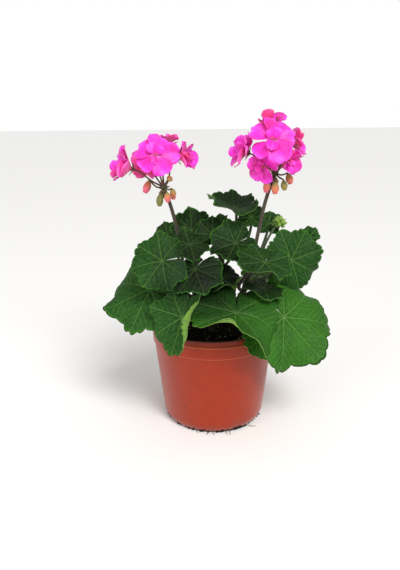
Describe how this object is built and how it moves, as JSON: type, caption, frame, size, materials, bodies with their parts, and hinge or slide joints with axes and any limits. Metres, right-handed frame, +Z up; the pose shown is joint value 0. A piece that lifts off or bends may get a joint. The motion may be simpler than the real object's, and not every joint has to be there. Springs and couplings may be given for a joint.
{
  "type": "potted geranium",
  "caption": "Live zonal geranium in a tapered plastic nursery pot filled with potting mix: bushy scalloped leaves on stalks, with pink flower heads held above them.",
  "frame": {"origin": "middle of the pot's foot, on the surface that the pot stands on", "axes": "+Z up, from the pot to the flower heads; -Y towards the plant's front, as it is seen in the picture; +X to the right seen from the front"},
  "size_m": [0.2107, 0.1918, 0.2915],
  "materials": {
    "terracotta_plastic": "satin",
    "potting_mix": "matte",
    "leaf_green": "satin",
    "woody_stem": "matte",
    "stem_green": "satin",
    "petal_pink": "satin",
    "bud_green": "satin"
  },
  "bodies": {
    "root": {"leaf_back_left": "leaf_green", "leaf_back_middle": "leaf_green", "leaf_back_right": "leaf_green", "leaf_behind_truss": "leaf_green", "leaf_centre_back": "leaf_green", "leaf_centre_fan": "leaf_green", "leaf_centre_folded": "leaf_green", "leaf_centre_left": "leaf_green", "leaf_centre_low": "leaf_green", "leaf_centre_right": "leaf_green", "leaf_centre_upright": "leaf_green", "leaf_front_saddle": "leaf_green", "leaf_inner": "leaf_green", "leaf_left_low": "leaf_green", "leaf_left_lower": "leaf_green", "leaf_left_shaded": "leaf_green", "leaf_left_small": "leaf_green", "leaf_left_upper": "leaf_green", "leaf_over_rim_left": "leaf_green", "leaf_right_facing": "leaf_green", "leaf_right_large": "leaf_green", "leaf_right_low": "leaf_green", "leaf_right_tip": "leaf_green", "leaf_right_under": "leaf_green", "leaf_top": "leaf_green", "leaf_top_right": "leaf_green", "left_bud_back": "bud_green", "left_bud_front": "bud_green", "left_bud_long": "bud_green", "left_bud_pink": "bud_green", "left_bud_right": "bud_green", "left_calyx": "bud_green", "left_floret_back": "petal_pink", "left_floret_front": "petal_pink", "left_floret_right": "petal_pink", "left_floret_side": "petal_pink", "left_floret_top": "petal_pink", "left_truss_stalk": "stem_green", "pot": "terracotta_plastic", "potting_mix": "potting_mix", "right_bud_back": "bud_green", "right_bud_front": "bud_green", "right_bud_long": "bud_green", "right_bud_outer": "bud_green", "right_bud_right": "bud_green", "right_floret_back": "petal_pink", "right_floret_front": "petal_pink", "right_floret_left": "petal_pink", "right_floret_low": "petal_pink", "right_floret_right": "petal_pink", "right_floret_top": "petal_pink", "right_floret_under": "petal_pink", "right_truss_stalk": "stem_green", "shoot_back": "woody_stem", "shoot_left": "woody_stem", "shoot_right": "woody_stem", "stem": "woody_stem", "young_truss": "bud_green"}
  },
  "joints": []
}
